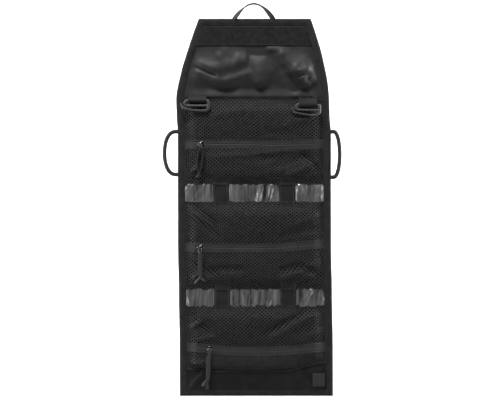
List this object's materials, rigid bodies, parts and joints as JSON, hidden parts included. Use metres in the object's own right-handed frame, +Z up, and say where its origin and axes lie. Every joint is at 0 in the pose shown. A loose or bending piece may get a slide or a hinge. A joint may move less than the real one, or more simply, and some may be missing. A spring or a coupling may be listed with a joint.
{
  "type": "hanging toiletry bag",
  "caption": "Long fold-up toiletry bag that hangs open by a top handle, with zipped net pockets, a tapered closing flap, open hooks and side cord loops.",
  "frame": {"origin": "underside of the top handle at its apex, the point that carries the hanging bag", "axes": "+Z up along the hanging bag, -Y out of the pocket side, +X to the right as seen from the pocket side"},
  "size_m": [0.2935, 0.0188, 0.6436],
  "materials": {
    "flap_nylon": "matte plain-weave nylon",
    "coated_lining": "shiny coated nylon, crinkled",
    "pocket_net": "open knitted net",
    "edge_binding": "grosgrain tape with stitching",
    "strap_webbing": "ribbed webbing",
    "closure_pile": "soft matte pile",
    "zip_cloth": "smooth knitted tape",
    "zip_teeth": "moulded coil",
    "braided_cord": "round braid",
    "hook_grey": "satin dark grey",
    "slider_metal": "dark polished",
    "woven_label": "plain woven"
  },
  "bodies": {
    "handle": {"top_handle": "strap_webbing"},
    "flap_tip": {"flap_tip_shell": "flap_nylon", "closure_tape": "closure_pile", "flap_tip_binding": "edge_binding"},
    "flap_spine": {"flap_spine_shell": "flap_nylon", "flap_spine_lining": "flap_nylon", "flap_spine_binding_left": "edge_binding", "flap_spine_binding_right": "edge_binding"},
    "panel_1": {"panel_1_shell": "flap_nylon", "panel_1_lining": "coated_lining", "panel_1_binding_left": "edge_binding", "panel_1_binding_right": "edge_binding", "net_1_upper": "pocket_net", "net_1_lower": "pocket_net", "zip_1_tape": "zip_cloth", "zip_1_coil": "zip_teeth", "tab_left": "strap_webbing", "tab_right": "strap_webbing"},
    "strip_1": {"strip_1_cloth": "coated_lining", "strip_1_binding_left": "edge_binding", "strip_1_binding_right": "edge_binding", "strip_1_strap_left": "strap_webbing", "strip_1_strap_right": "strap_webbing"},
    "panel_2": {"panel_2_shell": "flap_nylon", "panel_2_lining": "coated_lining", "panel_2_binding_left": "edge_binding", "panel_2_binding_right": "edge_binding", "net_2_upper": "pocket_net", "net_2_lower": "pocket_net", "zip_2_tape": "zip_cloth", "zip_2_coil": "zip_teeth", "closure_patch": "closure_pile"},
    "strip_2": {"strip_2_cloth": "coated_lining", "strip_2_binding_left": "edge_binding", "strip_2_binding_right": "edge_binding", "strip_2_strap_left": "strap_webbing", "strip_2_strap_right": "strap_webbing"},
    "panel_3": {"panel_3_shell": "flap_nylon", "panel_3_lining": "coated_lining", "panel_3_binding": "edge_binding", "net_3_upper": "pocket_net", "net_3_lower": "pocket_net", "zip_3_tape": "zip_cloth", "zip_3_coil": "zip_teeth", "bottom_band": "flap_nylon", "blank_label": "woven_label"},
    "hook_left": {"hook_left": "hook_grey"},
    "hook_right": {"hook_right": "hook_grey"},
    "side_loop_left": {"side_loop_left": "braided_cord"},
    "side_loop_right": {"side_loop_right": "braided_cord"},
    "slider_1": {"zip_1_slider": "slider_metal"},
    "pull_1": {"zip_1_pull": "slider_metal", "puller_1": "braided_cord"},
    "slider_2": {"zip_2_slider": "slider_metal"},
    "pull_2": {"zip_2_pull": "slider_metal", "puller_2": "braided_cord"},
    "slider_3": {"zip_3_slider": "slider_metal"},
    "pull_3": {"zip_3_pull": "slider_metal", "puller_3": "braided_cord"}
  },
  "joints": [
    {"name": "bag_swing", "type": "hinge", "parent": "handle", "child": "flap_tip", "pos_m": [0, 0, -0.0254], "axis": [1, 0, 0], "range_deg": [-60, 60]},
    {"name": "flap_tip_fold", "type": "hinge", "parent": "flap_tip", "child": "flap_spine", "pos_m": [0, 0, -0.0714], "axis": [-1, 0, 0], "range_deg": [0, 90]},
    {"name": "flap_fold", "type": "hinge", "parent": "flap_spine", "child": "panel_1", "pos_m": [0, 0, -0.1414], "axis": [-1, 0, 0], "range_deg": [0, 90]},
    {"name": "fold_1_upper", "type": "hinge", "parent": "panel_1", "child": "strip_1", "pos_m": [0, 0, -0.2984], "axis": [-1, 0, 0], "range_deg": [-88, 88]},
    {"name": "fold_1_lower", "type": "hinge", "parent": "strip_1", "child": "panel_2", "pos_m": [0, 0, -0.3224], "axis": [-1, 0, 0], "range_deg": [-88, 88]},
    {"name": "fold_2_upper", "type": "hinge", "parent": "panel_2", "child": "strip_2", "pos_m": [0, 0, -0.4694], "axis": [1, 0, 0], "range_deg": [-88, 88]},
    {"name": "fold_2_lower", "type": "hinge", "parent": "strip_2", "child": "panel_3", "pos_m": [0, 0, -0.4934], "axis": [1, 0, 0], "range_deg": [-88, 88]},
    {"name": "hook_left_swing", "type": "hinge", "parent": "panel_1", "child": "hook_left", "pos_m": [-0.098, -0.0104, -0.1594], "axis": [1, 0, 0], "range_deg": [-150, 0]},
    {"name": "hook_right_swing", "type": "hinge", "parent": "panel_1", "child": "hook_right", "pos_m": [0.083, -0.0104, -0.1664], "axis": [1, 0, 0], "range_deg": [-150, 0]},
    {"name": "side_loop_left_swing", "type": "hinge", "parent": "panel_1", "child": "side_loop_left", "pos_m": [-0.12842, 0, -0.2449], "axis": [0, 0, -1], "range_deg": [-75, 75], "stiffness_Nm_per_rad": 0.01},
    {"name": "side_loop_right_swing", "type": "hinge", "parent": "panel_1", "child": "side_loop_right", "pos_m": [0.12842, 0, -0.24715], "axis": [0, 0, 1], "range_deg": [-75, 75], "stiffness_Nm_per_rad": 0.01},
    {"name": "zip_1_slide", "type": "slide", "parent": "panel_1", "child": "slider_1", "axis": [1, 0, 0], "range_m": [0, 0.176]},
    {"name": "pull_1_swing", "type": "hinge", "parent": "slider_1", "child": "pull_1", "pos_m": [-0.088, -0.01, -0.2309], "axis": [0, 1, 0], "range_deg": [-90, 90]},
    {"name": "zip_2_slide", "type": "slide", "parent": "panel_2", "child": "slider_2", "axis": [1, 0, 0], "range_m": [0, 0.178]},
    {"name": "pull_2_swing", "type": "hinge", "parent": "slider_2", "child": "pull_2", "pos_m": [-0.089, -0.01, -0.3994], "axis": [0, 1, 0], "range_deg": [-90, 90]},
    {"name": "zip_3_slide", "type": "slide", "parent": "panel_3", "child": "slider_3", "axis": [1, 0, 0], "range_m": [-0.015, 0.163]},
    {"name": "pull_3_swing", "type": "hinge", "parent": "slider_3", "child": "pull_3", "pos_m": [-0.074, -0.01, -0.5644], "axis": [0, 1, 0], "range_deg": [-90, 90]}
  ]
}
